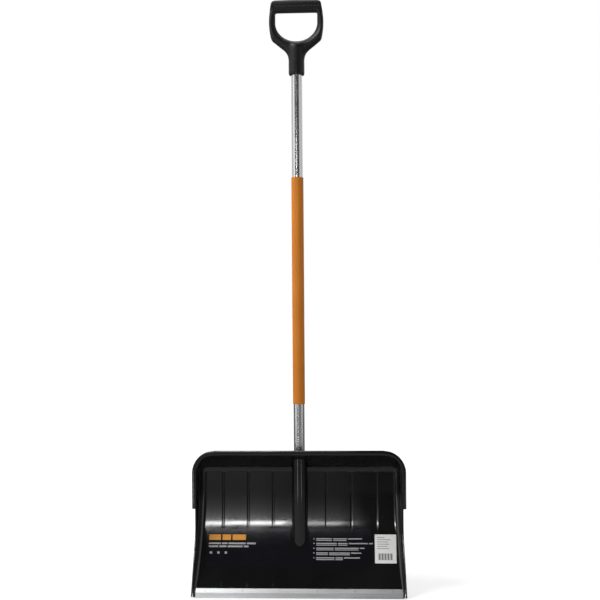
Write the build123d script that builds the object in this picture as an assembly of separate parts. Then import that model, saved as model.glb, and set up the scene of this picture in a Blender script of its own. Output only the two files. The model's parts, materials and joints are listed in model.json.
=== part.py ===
from build123d import *
from math import cos, radians, sin, tan
import os

# A push-and-lift snow shovel: a moulded scoop with side walls, an aluminium cutting edge,
# a straight aluminium shaft with a coloured sleeve, and a moulded D-shaped handle.
#
# Frame: X across the blade, -Y to the front (the side that holds the snow), +Z up the shaft.
# Origin: the middle of the cutting edge's flat foot, where it meets the ground.
# Lengths are in millimetres and angles in degrees.

# ---- Scoop blade, in section across the pan (the YZ plane) ----
WALL = 3.0                # moulded wall
LIP_ANGLE = 35.0          # lean of the straight lip from upright
LIP_RUN = 34.9            # length of the straight lip, along its slope
SWEEP_RADIUS = 430.0      # curve of the pan above the lip
PAN_ANGLE = 3.0           # lean of the flat upper pan from upright
PAN_RUN = 44.0            # length of the flat upper pan
CURL_RADIUS = 24.0        # curve from the upper pan into the overhanging top band
CURL_ANGLE = -52.0        # lean of the top band, which overhangs the front
CURL_RUN = 70.0           # length of the top band before the outline trims it

# ---- Scoop blade, seen from the front ----
RIM_Y = 38.8              # the upright plane that the top and side rims end in
RIM_TOP = 352.5           # height of the top rim, under its bead
RIM_HALF = 262.0          # half the blade's width at the rim plane, without the bead
RIM_CORNER = 50.0         # outer radius of the two top corners
DRAFT = 8.0               # how far the side walls lean outwards
SIDE_FOOT = (-4.0, 2.5)   # front of each side wall's foot, as (y, z)
SIDE_KNEE = 154.0         # below this height the side rims sweep forward to their feet
SIDE_KNEE_RADIUS = 120.0
INNER_FILLET = 12.0       # between the pan and the side walls

BEAD_WIDTH = 7.2          # flange that turns outwards round the upper rim
BEAD_THICK = 3.0
BEAD_FOOT = 213.0         # the flange stops here on each side

FLUTE_FIRST = 68.0        # shallow upright flutes in the pan, with ribs behind them
FLUTE_PITCH = 64.0
FLUTE_COUNT = 3           # on each side of the socket
FLUTE_RADIUS = 11.0
FLUTE_DEPTH = 0.6
FLUTE_FOOT = 27.0         # the flutes start this far up the lip
BACK_RIB_RADIUS = 4.0
BACK_RIB_RISE = 2.5

# ---- Shaft ----
SHAFT_Y = 84.8            # the shaft's axis, behind the cutting edge
TUBE_RADIUS = 14.0
TUBE_WALL = 1.5
TUBE_FOOT = 104.0
TUBE_TOP = 1366.0
TUBE_GAP = 0.1            # round the tube in its two sockets
SLEEVE_FOOT = 473.0
SLEEVE_TOP = 1050.0
SLEEVE_THICK = 1.5
SLEEVE_EDGE = 0.9
PLUG_LENGTH = 60.0
PLUG_GAP = 0.1
PLUG_FLANGE = 2.5
PLUG_BORE = 4.0

# ---- Socket moulded into the blade ----
SOCKET_RADIUS = 20.0
SOCKET_DROP = 2.5         # from the top rim down to the socket's mouth
SOCKET_FLOOR = 4.0
SPINE_THICK = 5.0         # upright web behind the pan, under the socket
SPINE_FOOT = 38.0

# ---- Cutting edge: a folded aluminium strip with a solid nose ----
EDGE_SIDE_ROOM = 2.5      # between each end of the strip and the rim's outer line
EDGE_THICK = 1.4
EDGE_GAP = 0.15           # strip to lip
EDGE_NOSE = 7.0           # solid nose below the lip
EDGE_FRONT = 24.0         # height of the front leaf, along its slope
EDGE_BACK = 21.5
EDGE_TOP_BEVEL = 1.0
EDGE_GROUND = 12.0        # the front is ground back from this height down
EDGE_GROUND_CUT = 1.0
RIVET_COUNT = 6
RIVET_INSET = 26.0        # from each end of the strip to the first rivet
RIVET_HEIGHT = 17.0       # up the slope
RIVET_RADIUS = 2.0
RIVET_HEAD_RADIUS = 3.6
RIVET_TAIL_HEIGHT = 1.6
RIVET_GAP = 0.05

# ---- Screws, driven in from behind ----
SCREW_RADIUS = 2.3
SCREW_HEAD_RADIUS = 4.5
SCREW_HEAD_HEIGHT = 2.8
SCREW_REACH = 17.0        # length under the head
SCREW_GAP = 0.05
SCREW_SEAT = 1.2          # depth of the head's seat in a socket's round back
SCREW_SEAT_GAP = 0.5
SCREW_KEY_RADIUS = 1.8
SCREW_KEY_DEPTH = 1.6
SOCKET_SCREW_INSETS = (40.0, 54.0)   # up from the tube's foot, and down from the socket's mouth
HANDLE_SCREW_HEIGHT = 1334.0

# ---- D-shaped handle ----
NECK_FOOT = 1311.0
NECK_RADIUS = 19.5
NECK_TOP = 1349.0
NECK_SWEEP = 34.0         # concave sweep from the neck out to the shoulders
SHOULDER_RISE = 39.0      # slope of the shoulders from level
SHOULDER_HALF = 62.9
SHOULDER_Z = 1401.0
SHOULDER_FILLET = 16.0
SIDE_HALF = 68.6          # widest point of the sides
SIDE_Z = 1446.0
GRIP_HALF = 63.6          # half-width at the ends of the grip
GRIP_Z = 1488.0
GRIP_TOP = 1501.5
GRIP_CROWN = 2.6          # the grip's top is this much lower at its ends
GRIP_CORNER = 10.5
GRIP_DEPTH = 33.0
GRIP_SPARE = 0.8          # height of the oval bar that the crowned top trims away
GRIP_SKIN = 0.1           # height of the bar above the hand opening
ARM_DEPTH = 25.0          # front to back
ARM_FILLET = 7.0
OPENING_HALF = 54.4
OPENING_TOP = 1471.7
OPENING_MIDDLE = 1445.0   # below this height the opening is half an ellipse
OPENING_DROP = 48.5
OPENING_CORNER = 5.0
OPENING_FILLET = 5.0
CROTCH_WALL = 6.0         # solid above the tube's end, before the neck fades into the arms
CROTCH_TOP = 1408.0

# ---- Labels on the pan ----
LABEL_THICK = 0.3
FILM_X = (-238.0, 180.0)
FILM_Z = (66.0, 156.0)
FILM_NOTCH = 24.0         # half-width of the cut-out round the socket
FILM_NOTCH_FOOT = 100.0
STICKER_X = (190.0, 244.0)
STICKER_Z = (76.0, 142.5)
STICKER_CORNER = 4.0

FAR = 400.0               # beyond every face, for the tools that cut and trim

TUBE_BORE = TUBE_RADIUS - TUBE_WALL
SOCKET_TOP = RIM_TOP - SOCKET_DROP
SOCKET_SCREW_HEIGHTS = (TUBE_FOOT + SOCKET_SCREW_INSETS[0], SOCKET_TOP - SOCKET_SCREW_INSETS[1])
EDGE_HALF = RIM_HALF - EDGE_SIDE_ROOM
RIVET_SPAN = 2 * (EDGE_HALF - RIVET_INSET)
SOCKET_BASE = TUBE_FOOT - PLUG_FLANGE
HANDLE_ROOF = TUBE_TOP + PLUG_FLANGE + TUBE_GAP
CROTCH_START = HANDLE_ROOF + CROTCH_WALL
LIP_HALF = WALL / 2 + EDGE_GAP
EDGE_OUTER = LIP_HALF + EDGE_THICK


def along(angle):
    """Direction up a wall that leans back by this angle, as (y, z)."""
    return Vector(sin(radians(angle)), cos(radians(angle)))


def ahead(angle):
    """Direction out of the front of a wall that leans back by this angle, as (y, z)."""
    return Vector(-cos(radians(angle)), sin(radians(angle)))


def lip_point(run, front):
    """A point up the lip's slope and in front of the middle of its wall, as (y, z)."""
    return along(LIP_ANGLE) * run + ahead(LIP_ANGLE) * front


def pan_curve(front, foot):
    """The pan's section this far in front of the middle of its wall, and its two ends."""
    sweep_foot = along(LIP_ANGLE) * LIP_RUN
    sweep_centre = sweep_foot + ahead(LIP_ANGLE) * SWEEP_RADIUS
    sweep_top = sweep_centre - ahead(PAN_ANGLE) * SWEEP_RADIUS
    curl_foot = sweep_top + along(PAN_ANGLE) * PAN_RUN
    curl_centre = curl_foot + ahead(PAN_ANGLE) * CURL_RADIUS
    curl_top = curl_centre - ahead(CURL_ANGLE) * CURL_RADIUS
    start = lip_point(foot, front)
    end = curl_top + along(CURL_ANGLE) * CURL_RUN + ahead(CURL_ANGLE) * front
    p1 = sweep_foot + ahead(LIP_ANGLE) * front
    p2 = sweep_top + ahead(PAN_ANGLE) * front
    p3 = curl_foot + ahead(PAN_ANGLE) * front
    p4 = curl_top + ahead(CURL_ANGLE) * front
    sweep_middle = sweep_centre - ahead((LIP_ANGLE + PAN_ANGLE) / 2) * (SWEEP_RADIUS - front)
    curl_middle = curl_centre - ahead((PAN_ANGLE + CURL_ANGLE) / 2) * (CURL_RADIUS - front)
    edges = [
        Line(start, p1),
        ThreePointArc(p1, sweep_middle, p2),
        Line(p2, p3),
        ThreePointArc(p3, curl_middle, p4),
        Line(p4, end),
    ]
    return edges, start, end


def across(edges, low_x, high_x):
    """A closed YZ outline, drawn out along X."""
    face = make_face(Plane.YZ.offset(low_x) * Curve(edges))
    return extrude(face, high_x - low_x, dir=(1, 0, 0))


def pan_layer(front, back, low_x, high_x, foot):
    """The layer between two depths of the pan's wall."""
    front_edges, front_start, front_end = pan_curve(front, foot)
    back_edges, back_start, back_end = pan_curve(back, foot)
    ends = [Line(front_start, back_start), Line(front_end, back_end)]
    return across(front_edges + back_edges + ends, low_x, high_x)


def ahead_of_pan(front):
    """Everything in front of the pan, from this far ahead of the middle of its wall."""
    edges, start, end = pan_curve(front, -LIP_RUN)
    closing = [
        Line(end, (-FAR, end.Y)),
        Line((-FAR, end.Y), (-FAR, start.Y)),
        Line((-FAR, start.Y), start),
    ]
    return across(edges + closing, -FAR, FAR)


def ahead_of_rim():
    """Everything in front of the side walls' rims."""
    foot = Vector(*SIDE_FOOT)
    knee = Vector(RIM_Y, SIDE_KNEE)
    low = foot + (foot - knee)
    path = Polyline(low, knee, (RIM_Y, FAR))
    path = fillet(path.vertices().sort_by(Axis.Y)[1], SIDE_KNEE_RADIUS)
    closing = [
        Line((RIM_Y, FAR), (-FAR, FAR)),
        Line((-FAR, FAR), (-FAR, low.Y)),
        Line((-FAR, low.Y), low),
    ]
    return across(path.edges() + closing, -FAR, FAR)


def front_outline(y, inset, foot):
    """The blade's outline at one depth, as seen from the front, with its top corners."""
    spread = (RIM_Y - y) * tan(radians(DRAFT)) - inset
    half = RIM_HALF + spread
    top = RIM_TOP + spread
    corner = RIM_CORNER + spread
    bulge = corner * (1 - cos(radians(45)))
    edges = [
        Line((-half, foot), (half, foot)),
        Line((half, foot), (half, top - corner)),
        ThreePointArc((half, top - corner), (half - bulge, top - bulge), (half - corner, top)),
        Line((half - corner, top), (corner - half, top)),
        ThreePointArc((corner - half, top), (bulge - half, top - bulge), (-half, top - corner)),
        Line((-half, top - corner), (-half, foot)),
    ]
    plane = Plane(origin=(0, y, 0), x_dir=(1, 0, 0), z_dir=(0, -1, 0))
    return make_face(plane * Curve(edges))


def outline_block(inset, foot):
    """The draughted block that trims the blade, or its hollow, to the outline."""
    back = front_outline(SHAFT_Y + 2 * SOCKET_RADIUS, inset, foot)
    front = front_outline(-SHAFT_Y, inset, foot)
    return loft([back, front], ruled=True)


def hollow():
    """The space that the pan and side walls stand round, with rounded inner corners."""
    space = ahead_of_pan(WALL / 2) & outline_block(WALL, -FAR)
    pan = pan_layer(WALL / 2, -WALL / 2, -FAR, FAR, -LIP_RUN)

    def on_pan_side(edge):
        ends = [edge @ 0, edge @ 0.5, edge @ 1]
        touching = all(pan.distance_to(Vertex(point)) < 0.01 for point in ends)
        crossing = abs(edge.center().X) > EDGE_HALF / 2 and abs((edge % 0.5).X) < 0.99
        return touching and crossing

    return fillet(space.edges().filter_by(on_pan_side), INNER_FILLET)


def bead():
    """The flange round the upper rim."""
    outer = front_outline(RIM_Y, -BEAD_WIDTH, BEAD_FOOT)
    inner = front_outline(RIM_Y, WALL, BEAD_FOOT)
    return extrude(outer - inner, BEAD_THICK, dir=(0, 1, 0))


def flute_places():
    for side in (-1, 1):
        for number in range(FLUTE_COUNT):
            yield side * (FLUTE_FIRST + number * FLUTE_PITCH)


def swept_rod(radius, front, x, foot):
    """A round rod that follows the pan's section at one x."""
    edges, start, end = pan_curve(front, foot)
    path = Plane.YZ.offset(x) * Curve(edges)
    section = Plane(origin=path @ 0, z_dir=path % 0) * Circle(radius)
    return sweep(section, path=Wire(path.edges()))


def shaft_rod(radius, low_z, high_z):
    """A cylinder on the shaft's axis."""
    middle = (low_z + high_z) / 2
    return Pos(0, SHAFT_Y, middle) * Cylinder(radius, high_z - low_z)


def socket():
    """The closed round socket, with straight flanks between its front and the pan."""
    nose = Pos(0, SHAFT_Y, SOCKET_BASE - SOCKET_FLOOR) * Sphere(SOCKET_RADIUS)
    tube = shaft_rod(SOCKET_RADIUS, SOCKET_BASE - SOCKET_FLOOR, SOCKET_TOP)
    flank_height = SOCKET_TOP - SOCKET_BASE
    flanks = Pos(0, SHAFT_Y + SOCKET_RADIUS, SOCKET_BASE + flank_height / 2) * Box(
        2 * SOCKET_RADIUS, 2 * SOCKET_RADIUS, flank_height)
    return nose + tube + (flanks & ahead_of_pan(0))


def spine():
    """The upright web that carries the socket's load down the back of the pan."""
    back = SHAFT_Y + SOCKET_RADIUS - SPINE_THICK
    corners = [(0, SPINE_FOOT), (lip_point(SPINE_FOOT, 0).X, SPINE_FOOT), (back, SOCKET_BASE),
               (back, SOCKET_BASE + SOCKET_RADIUS), (0, SOCKET_BASE + SOCKET_RADIUS)]
    web = extrude(Plane.YZ * make_face(Polyline(*corners, close=True)), SPINE_THICK / 2, both=True)
    return web - ahead_of_pan(0)


def screw_axis(z, back):
    """The place of a screw's seat, with its own Z pointing back out of the head."""
    return Plane(origin=(0, back - SCREW_SEAT, z), x_dir=(1, 0, 0), z_dir=(0, 1, 0))


def screw_hole(z, back):
    """The hole for a screw's shank, right through whatever it holds."""
    shank = Cylinder(SCREW_RADIUS + SCREW_GAP, SCREW_REACH + SCREW_GAP,
                     align=(Align.CENTER, Align.CENTER, Align.MAX))
    return screw_axis(z, back) * shank


def screw_seat(z, back):
    """The counterbore that a screw's head sits in."""
    head = Cylinder(SCREW_HEAD_RADIUS + SCREW_SEAT_GAP, SCREW_HEAD_HEIGHT * 2,
                    align=(Align.CENTER, Align.CENTER, Align.MIN))
    return screw_axis(z, back) * head


def screw(z, back):
    """A pan-headed screw with a socketed head."""
    shank = Cylinder(SCREW_RADIUS, SCREW_REACH, align=(Align.CENTER, Align.CENTER, Align.MAX))
    head = Cylinder(SCREW_HEAD_RADIUS, SCREW_HEAD_HEIGHT,
                    align=(Align.CENTER, Align.CENTER, Align.MIN))
    head = fillet(head.edges().group_by(Axis.Z)[-1], SCREW_HEAD_HEIGHT / 2)
    tip = chamfer(shank.edges().group_by(Axis.Z)[0], SCREW_RADIUS / 2)
    key = extrude(Pos(0, 0, SCREW_HEAD_HEIGHT) * RegularPolygon(SCREW_KEY_RADIUS, 6),
                  -SCREW_KEY_DEPTH)
    return screw_axis(z, back) * (head + tip - key)


def rivet_places():
    step = RIVET_SPAN / (RIVET_COUNT - 1)
    for number in range(RIVET_COUNT):
        foot = lip_point(RIVET_HEIGHT, 0)
        yield Plane(origin=(number * step - RIVET_SPAN / 2, foot.X, foot.Y), x_dir=(1, 0, 0),
                    z_dir=(0, ahead(LIP_ANGLE).X, ahead(LIP_ANGLE).Y))


def rivet_body(gap):
    """The rivet's shank and its flush, countersunk front head."""
    shank = Cylinder(RIVET_RADIUS + gap, 2 * EDGE_OUTER)
    sink = RIVET_HEAD_RADIUS - RIVET_RADIUS
    head = Pos(0, 0, EDGE_OUTER - sink / 2) * Cone(RIVET_RADIUS + gap, RIVET_HEAD_RADIUS + gap, sink)
    return shank + head


def rivet():
    """One rivet: flush in front, with a low round head behind."""
    tail = Pos(0, 0, -EDGE_OUTER) * Cylinder(RIVET_HEAD_RADIUS, RIVET_TAIL_HEIGHT,
                                             align=(Align.CENTER, Align.CENTER, Align.MAX))
    tail = fillet(tail.edges().group_by(Axis.Z)[0], RIVET_TAIL_HEIGHT * 0.8)
    return rivet_body(0) + tail


def make_blade():
    foot = SIDE_FOOT[1]
    shell = (ahead_of_pan(-WALL / 2) & outline_block(0, foot)) - ahead_of_rim() - hollow()
    for x in flute_places():
        shell -= swept_rod(FLUTE_RADIUS, WALL / 2 + FLUTE_RADIUS - FLUTE_DEPTH, x, FLUTE_FOOT)
        rib = swept_rod(BACK_RIB_RADIUS, -WALL / 2 + BACK_RIB_RADIUS - BACK_RIB_RISE, x, FLUTE_FOOT)
        shell += rib & outline_block(WALL / 2, foot) - ahead_of_pan(0)
    shell += bead()
    shell += socket() + spine()
    shell -= shaft_rod(TUBE_RADIUS + TUBE_GAP, SOCKET_BASE, FAR)
    for z in SOCKET_SCREW_HEIGHTS:
        shell -= screw_hole(z, SHAFT_Y + SOCKET_RADIUS) + screw_seat(z, SHAFT_Y + SOCKET_RADIUS)
    room_corners = [lip_point(-EDGE_NOSE, EDGE_OUTER + EDGE_THICK),
                    lip_point(-EDGE_NOSE, -EDGE_OUTER - EDGE_THICK),
                    lip_point(EDGE_NOSE + EDGE_GAP, -EDGE_OUTER - EDGE_THICK),
                    lip_point(EDGE_NOSE + EDGE_GAP, WALL / 2),
                    lip_point(EDGE_FRONT + EDGE_THICK, WALL / 2),
                    lip_point(EDGE_FRONT + EDGE_THICK, EDGE_OUTER + EDGE_THICK)]
    half = EDGE_HALF + EDGE_THICK / 2
    shell -= across(Polyline(*room_corners, close=True).edges(), -half, half)
    for place in rivet_places():
        shell -= place * rivet_body(RIVET_GAP)
    return shell


def make_edge():
    """The folded strip: a solid nose, a ground front leaf and a shorter back leaf."""
    slope = tan(radians(LIP_ANGLE))
    ground = EDGE_OUTER - EDGE_GROUND_CUT
    corners = [
        lip_point(-ground * slope, ground),
        lip_point(EDGE_GROUND, EDGE_OUTER),
        lip_point(EDGE_FRONT - EDGE_TOP_BEVEL, EDGE_OUTER),
        lip_point(EDGE_FRONT, EDGE_OUTER - EDGE_TOP_BEVEL),
        lip_point(EDGE_FRONT, LIP_HALF),
        lip_point(EDGE_NOSE, LIP_HALF),
        lip_point(EDGE_NOSE, -LIP_HALF),
        lip_point(EDGE_BACK, -LIP_HALF),
        lip_point(EDGE_BACK, -EDGE_OUTER),
        lip_point(EDGE_OUTER * slope, -EDGE_OUTER),
    ]
    strip = across(Polyline(*corners, close=True).edges(), -EDGE_HALF, EDGE_HALF)
    for place in rivet_places():
        strip -= place * rivet_body(RIVET_GAP)
    return strip


def make_tube():
    tube = shaft_rod(TUBE_RADIUS, TUBE_FOOT, TUBE_TOP) - shaft_rod(TUBE_BORE, 0, 2 * TUBE_TOP)
    for z in SOCKET_SCREW_HEIGHTS:
        tube -= screw_hole(z, SHAFT_Y + SOCKET_RADIUS)
    return tube - screw_hole(HANDLE_SCREW_HEIGHT, SHAFT_Y + NECK_RADIUS)


def make_plug(end, inward, screw_z, screw_back):
    """A flanged plug that closes one end of the tube and gives the screw something to grip."""
    flange = shaft_rod(TUBE_RADIUS, *sorted((end, end - inward * PLUG_FLANGE)))
    spigot = shaft_rod(TUBE_BORE - PLUG_GAP, *sorted((end, end + inward * PLUG_LENGTH)))
    far_end = spigot.faces().sort_by(Axis.Z)[-1 if inward > 0 else 0]
    spigot = chamfer(far_end.edges(), PLUG_FLANGE / 2)
    bore = shaft_rod(PLUG_BORE, *sorted((end - inward * PLUG_LENGTH, end + inward * 2 * PLUG_LENGTH)))
    return flange + spigot - bore - screw_hole(screw_z, screw_back)


def make_sleeve():
    sleeve = shaft_rod(TUBE_RADIUS + SLEEVE_THICK, SLEEVE_FOOT, SLEEVE_TOP)
    sleeve = fillet(sleeve.edges().filter_by(GeomType.CIRCLE), SLEEVE_EDGE)
    return sleeve - shaft_rod(TUBE_RADIUS, 0, 2 * SLEEVE_TOP)


def handle_outline():
    """Half of the arms' front view, mirrored: sweep from the neck, shoulder, bowed side, grip end."""
    rise = radians(SHOULDER_RISE)
    sweep_end = Vector(NECK_RADIUS + NECK_SWEEP * (1 - sin(rise)), NECK_TOP + NECK_SWEEP * cos(rise))
    half_turn = (radians(90) - rise) / 2
    sweep_middle = Vector(NECK_RADIUS + NECK_SWEEP * (1 - cos(half_turn)),
                          NECK_TOP + NECK_SWEEP * sin(half_turn))
    shoulder = Vector(SHOULDER_HALF, SHOULDER_Z)
    end_top = GRIP_TOP - GRIP_CROWN
    edges = [
        Line((0, NECK_TOP), (NECK_RADIUS, NECK_TOP)),
        ThreePointArc((NECK_RADIUS, NECK_TOP), sweep_middle, sweep_end),
        Line(sweep_end, shoulder),
        ThreePointArc(shoulder, (SIDE_HALF, SIDE_Z), (GRIP_HALF, GRIP_Z)),
        Line((GRIP_HALF, GRIP_Z), (GRIP_HALF, end_top)),
        ThreePointArc((GRIP_HALF, end_top), (GRIP_HALF / 2, GRIP_TOP - GRIP_CROWN / 4), (0, GRIP_TOP)),
        Line((0, GRIP_TOP), (0, NECK_TOP)),
    ]
    half = make_face(Curve(edges))
    corners = half.vertices().filter_by(lambda v: v.X > GRIP_HALF - 1)
    half = fillet(corners.filter_by(lambda v: v.Y > GRIP_Z + 1), GRIP_CORNER)
    low = half.vertices().filter_by(lambda v: v.X > 1 and abs(v.Y - SHOULDER_Z) < 0.5)
    half = fillet(low, SHOULDER_FILLET)
    return half + mirror(half, about=Plane.YZ)


def handle_opening():
    """The hand's opening: straight sides over half an ellipse."""
    height = OPENING_TOP - OPENING_MIDDLE
    top = Pos(0, OPENING_MIDDLE + height / 2) * Rectangle(2 * OPENING_HALF, height)
    top = fillet(top.vertices().group_by(Axis.Y)[-1], OPENING_CORNER)
    lower_half = Pos(0, OPENING_MIDDLE - OPENING_DROP / 2) * Rectangle(2 * OPENING_HALF, OPENING_DROP)
    bowl = Pos(0, OPENING_MIDDLE) * Ellipse(OPENING_HALF, OPENING_DROP) & lower_half
    return top + bowl


def neck_dome():
    """The rounded top of the neck, which fades into the arms."""
    rise = CROTCH_TOP - CROTCH_START
    view = Plane(origin=(0, SHAFT_Y, CROTCH_START), x_dir=(1, 0, 0), z_dir=(0, -1, 0))
    quarter = Ellipse(NECK_RADIUS, rise) & Pos(NECK_RADIUS / 2, rise / 2) * Rectangle(NECK_RADIUS, rise)
    return revolve(view * quarter, Axis((0, SHAFT_Y, 0), (0, 0, 1)))


def grip_bar():
    """The grip's oval bar, a little too tall, so that the outline crowns its top."""
    half_height = (GRIP_TOP - OPENING_TOP + GRIP_SPARE) / 2
    low = Plane(origin=(-SIDE_HALF, SHAFT_Y, OPENING_TOP + GRIP_SKIN + half_height), x_dir=(0, 1, 0),
                z_dir=(1, 0, 0))
    return extrude(low * Ellipse(GRIP_DEPTH / 2, half_height), 2 * SIDE_HALF)


def make_handle():
    """The handle: flat arms with rounded edges, a round grip and a round neck over the tube."""
    front_view = Plane(origin=(0, SHAFT_Y, 0), x_dir=(1, 0, 0), z_dir=(0, -1, 0))
    outline = front_view * handle_outline()
    opening = front_view * handle_opening()
    body = extrude(outline - opening, ARM_DEPTH / 2, both=True)
    faces = body.faces().filter_by(Axis.Y)
    inner = ShapeList(edge for face in faces for wire in face.inner_wires() for edge in wire.edges())
    body = fillet(inner, OPENING_FILLET)
    faces = body.faces().filter_by(Axis.Y)
    outer = ShapeList(edge for face in faces for edge in face.outer_wire().edges())
    body = fillet(outer.filter_by(lambda e: e.center().Z > NECK_TOP + 1), ARM_FILLET)
    body += shaft_rod(NECK_RADIUS, NECK_FOOT, CROTCH_START)
    body += neck_dome() - extrude(opening, GRIP_DEPTH, both=True)
    body += grip_bar() & extrude(outline, GRIP_DEPTH, both=True)
    body -= shaft_rod(TUBE_RADIUS + TUBE_GAP, 0, HANDLE_ROOF)
    body -= screw_hole(HANDLE_SCREW_HEIGHT, SHAFT_Y + NECK_RADIUS)
    return body - screw_seat(HANDLE_SCREW_HEIGHT, SHAFT_Y + NECK_RADIUS)


def label(low_x, high_x, low_z, high_z):
    """A thin label that lies on the front of the pan."""
    layer = pan_layer(WALL / 2 + LABEL_THICK, WALL / 2, low_x, high_x, 0)
    band = Pos(0, 0, (low_z + high_z) / 2) * Box(FAR * 2, FAR * 2, high_z - low_z)
    return layer & band


def make_film():
    notch_height = FILM_Z[1] - FILM_NOTCH_FOOT
    notch = Pos(0, 0, FILM_NOTCH_FOOT + notch_height / 2) * Box(2 * FILM_NOTCH, FAR, notch_height)
    notch = fillet(notch.edges().filter_by(Axis.Y).group_by(Axis.Z)[0], FILM_NOTCH / 2)
    return label(*FILM_X, *FILM_Z) - notch


def make_sticker():
    width = STICKER_X[1] - STICKER_X[0]
    height = STICKER_Z[1] - STICKER_Z[0]
    middle = Pos(sum(STICKER_X) / 2, 0, sum(STICKER_Z) / 2)
    trim = middle * Box(width, FAR, height)
    trim = fillet(trim.edges().filter_by(Axis.Y), STICKER_CORNER)
    return label(*STICKER_X, *STICKER_Z) & trim


socket_back = SHAFT_Y + SOCKET_RADIUS
neck_back = SHAFT_Y + NECK_RADIUS

nodes = {
    "scoop_blade": make_blade(),
    "cutting_edge": make_edge(),
    "edge_rivets": Compound([place * rivet() for place in rivet_places()]),
    "shaft_tube": make_tube(),
    "shaft_sleeve": make_sleeve(),
    "lower_tube_plug": make_plug(TUBE_FOOT, 1, SOCKET_SCREW_HEIGHTS[0], socket_back),
    "upper_tube_plug": make_plug(TUBE_TOP, -1, HANDLE_SCREW_HEIGHT, neck_back),
    "socket_screws": Compound([screw(z, socket_back) for z in SOCKET_SCREW_HEIGHTS]),
    "d_handle": make_handle(),
    "handle_screw": screw(HANDLE_SCREW_HEIGHT, neck_back),
    "film_label": make_film(),
    "sticker_label": make_sticker(),
}

os.makedirs("parts", exist_ok=True)
for name, shape in nodes.items():
    export_step(shape, f"parts/{name}.step")
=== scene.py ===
import bmesh
import bpy
import json
import numpy as np
from math import cos, pi, radians, sin
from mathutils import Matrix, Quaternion, Vector


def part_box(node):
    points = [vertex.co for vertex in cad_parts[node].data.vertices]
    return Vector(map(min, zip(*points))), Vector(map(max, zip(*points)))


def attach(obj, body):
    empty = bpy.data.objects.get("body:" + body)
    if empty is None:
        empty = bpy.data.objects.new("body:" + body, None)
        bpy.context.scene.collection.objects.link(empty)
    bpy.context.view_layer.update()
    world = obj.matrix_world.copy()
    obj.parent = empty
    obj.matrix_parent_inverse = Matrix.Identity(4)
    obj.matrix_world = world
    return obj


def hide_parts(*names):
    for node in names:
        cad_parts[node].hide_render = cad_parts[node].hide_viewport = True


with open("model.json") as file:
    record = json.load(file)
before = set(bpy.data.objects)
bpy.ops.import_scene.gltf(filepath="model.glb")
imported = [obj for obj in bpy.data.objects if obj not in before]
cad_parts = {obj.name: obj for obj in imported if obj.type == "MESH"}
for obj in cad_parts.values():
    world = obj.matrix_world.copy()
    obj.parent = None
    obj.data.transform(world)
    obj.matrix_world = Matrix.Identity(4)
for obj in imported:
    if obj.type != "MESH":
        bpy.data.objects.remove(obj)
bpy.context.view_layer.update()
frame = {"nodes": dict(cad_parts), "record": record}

scene = bpy.context.scene
MM = 0.001
scene.view_settings.view_transform = "Standard"


# ---------------------------------------------------------------- camera, floor and lights
CAMERA_DISTANCE = 2.8      # from the shaft's axis
CAMERA_HEIGHT = 0.7377
VIEW_WIDTH = 1.53          # what the frame takes in at the shaft
CAMERA_ORBIT = 2.9         # degrees round to the object's right
CAMERA_ROLL = -0.42
CAMERA_ASIDE = 0.0045      # of the camera and its aim, to the right
SHAFT_Y = (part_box("shaft_tube")[0].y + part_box("shaft_tube")[1].y) / 2
SHAFT = SHAFT_Y / MM       # the same depth in millimetres


def look_from(obj, place, target):
    obj.location = place
    obj.rotation_euler = (Vector(target) - Vector(place)).to_track_quat("-Z", "Y").to_euler()


def make_camera():
    lens = bpy.data.cameras.new("camera")
    lens.sensor_width = 36
    lens.lens = lens.sensor_width * CAMERA_DISTANCE / VIEW_WIDTH
    lens.clip_end = 100
    obj = bpy.data.objects.new("camera", lens)
    scene.collection.objects.link(obj)
    orbit = radians(CAMERA_ORBIT)
    aim = Vector((CAMERA_ASIDE, SHAFT_Y, CAMERA_HEIGHT))
    obj.location = aim + CAMERA_DISTANCE * Vector((sin(orbit), -cos(orbit), 0))
    level = (aim - obj.location).to_track_quat("-Z", "Y")
    obj.rotation_mode = "QUATERNION"
    obj.rotation_quaternion = level @ Quaternion((0, 0, 1), radians(CAMERA_ROLL))
    scene.camera = obj


def soft_box(name, place, target, width, height, radiance):
    """A white area light given by how bright its face looks."""
    light = bpy.data.lights.new(name, "AREA")
    light.shape = "RECTANGLE"
    light.size = width
    light.size_y = height
    light.energy = radiance * width * height * pi
    obj = bpy.data.objects.new(name, light)
    scene.collection.objects.link(obj)
    look_from(obj, place, target)
    return obj


def smooth_range(tree, source, start, end):
    """Maps a value smoothly from one (value, result) pair to another."""
    node = tree.nodes.new("ShaderNodeMapRange")
    node.interpolation_type = "SMOOTHSTEP"
    for name, (value, result) in (("Min", start), ("Max", end)):
        node.inputs["From " + name].default_value = value
        node.inputs["To " + name].default_value = result
    tree.links.new(source, node.inputs["Value"])
    return node.outputs["Result"]


ROOM_LIGHT = (-0.3, 0.06)  # how far back a ray points, and the light that it meets there
WALL_LIGHT = (0.35, 0.9)


def make_world():
    """White for the camera. For everything else, a pale wall behind and a dim room in front."""
    world = bpy.data.worlds.new("studio")
    scene.world = world
    world.use_nodes = True
    tree = world.node_tree
    back = tree.nodes["Background"]
    way = tree.nodes.new("ShaderNodeTexCoord")
    split = tree.nodes.new("ShaderNodeSeparateXYZ")
    tree.links.new(way.outputs["Generated"], split.inputs["Vector"])
    wall = smooth_range(tree, split.outputs["Y"], ROOM_LIGHT, WALL_LIGHT)
    path = tree.nodes.new("ShaderNodeLightPath")
    mix = tree.nodes.new("ShaderNodeMix")
    mix.inputs["B"].default_value = 1.0
    tree.links.new(wall, mix.inputs["A"])
    tree.links.new(path.outputs["Is Camera Ray"], mix.inputs["Factor"])
    tree.links.new(mix.outputs["Result"], back.inputs["Strength"])
    back.inputs["Color"].default_value = (1, 1, 1, 1)


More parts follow.
